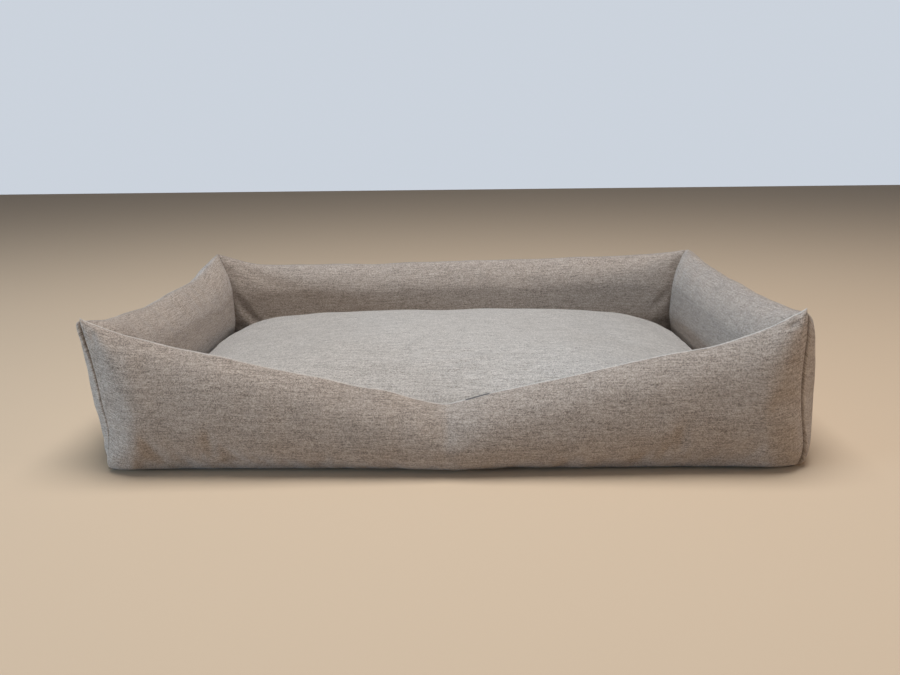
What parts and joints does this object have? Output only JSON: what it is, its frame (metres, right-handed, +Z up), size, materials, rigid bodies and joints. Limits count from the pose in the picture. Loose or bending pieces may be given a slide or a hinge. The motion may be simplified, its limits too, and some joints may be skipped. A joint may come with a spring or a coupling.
{
  "type": "dog bed",
  "caption": "Rectangular padded dog bed with an upholstered rim of pillow walls, pointed corners, a low V-shaped front entry and a loose domed cushion.",
  "frame": {"origin": "on the floor under the middle of the bed", "axes": "+Z up, +X to the right along the front wall, +Y from the front wall with the entry dip to the back wall"},
  "size_m": [0.968, 0.672, 0.1997],
  "materials": {
    "wall_fabric": "greige tweed upholstery weave",
    "cushion_fabric": "greige tweed upholstery weave",
    "foam": "cut foam",
    "base_fabric": "woven with a non-slip dotted coating",
    "zip_tape": "woven tape and nylon teeth",
    "zip_metal": "dull nickel"
  },
  "bodies": {
    "frame": {"front_wall_cover": "wall_fabric", "back_wall_cover": "wall_fabric", "left_wall_cover": "wall_fabric", "right_wall_cover": "wall_fabric", "front_wall_core": "foam", "back_wall_core": "foam", "left_wall_core": "foam", "right_wall_core": "foam", "base_panel": "base_fabric", "front_zip_chain": "zip_tape", "back_zip_chain": "zip_tape", "left_zip_chain": "zip_tape", "right_zip_chain": "zip_tape"},
    "cushion": {"cushion_top_panel": "cushion_fabric", "cushion_bottom_panel": "cushion_fabric", "cushion_core": "foam", "cushion_zip_chain": "zip_tape"},
    "front_zip_slider": {"front_zip_slider": "zip_metal"},
    "front_zip_pull": {"front_zip_pull": "zip_metal"},
    "back_zip_slider": {"back_zip_slider": "zip_metal"},
    "back_zip_pull": {"back_zip_pull": "zip_metal"},
    "left_zip_slider": {"left_zip_slider": "zip_metal"},
    "left_zip_pull": {"left_zip_pull": "zip_metal"},
    "right_zip_slider": {"right_zip_slider": "zip_metal"},
    "right_zip_pull": {"right_zip_pull": "zip_metal"},
    "cushion_zip_slider": {"cushion_zip_slider": "zip_metal"},
    "cushion_zip_pull": {"cushion_zip_pull": "zip_metal"}
  },
  "joints": [
    {"name": "cushion_lift", "type": "slide", "parent": "frame", "child": "cushion", "axis": [0, 0, 1], "range_m": [0, 0.25]},
    {"name": "front_zip_slide", "type": "slide", "parent": "frame", "child": "front_zip_slider", "axis": [1, 0, 0], "range_m": [0, 0.5814]},
    {"name": "front_pull_swing", "type": "hinge", "parent": "front_zip_slider", "child": "front_zip_pull", "pos_m": [-0.2887, -0.26072, 0.0125], "axis": [0, 0, 1], "range_deg": [0, 180]},
    {"name": "back_zip_slide", "type": "slide", "parent": "frame", "child": "back_zip_slider", "axis": [-1, 0, 0], "range_m": [0, 0.5814]},
    {"name": "back_pull_swing", "type": "hinge", "parent": "back_zip_slider", "child": "back_zip_pull", "pos_m": [0.2887, 0.26072, 0.0125], "axis": [0, 0, 1], "range_deg": [0, 180]},
    {"name": "left_zip_slide", "type": "slide", "parent": "frame", "child": "left_zip_slider", "axis": [0, -1, 0], "range_m": [0, 0.3214]},
    {"name": "left_pull_swing", "type": "hinge", "parent": "left_zip_slider", "child": "left_zip_pull", "pos_m": [-0.40872, 0.1587, 0.0125], "axis": [0, 0, 1], "range_deg": [0, 180]},
    {"name": "right_zip_slide", "type": "slide", "parent": "frame", "child": "right_zip_slider", "axis": [0, 1, 0], "range_m": [0, 0.3214]},
    {"name": "right_pull_swing", "type": "hinge", "parent": "right_zip_slider", "child": "right_zip_pull", "pos_m": [0.40872, -0.1587, 0.0125], "axis": [0, 0, 1], "range_deg": [0, 180]},
    {"name": "cushion_zip_slide", "type": "slide", "parent": "cushion", "child": "cushion_zip_slider", "axis": [1, 0, 0], "range_m": [0, 0.3814]},
    {"name": "cushion_pull_swing", "type": "hinge", "parent": "cushion_zip_slider", "child": "cushion_zip_pull", "pos_m": [-0.1887, 0.25638, 0.03575], "axis": [0, 0, 1], "range_deg": [0, 6]}
  ]
}
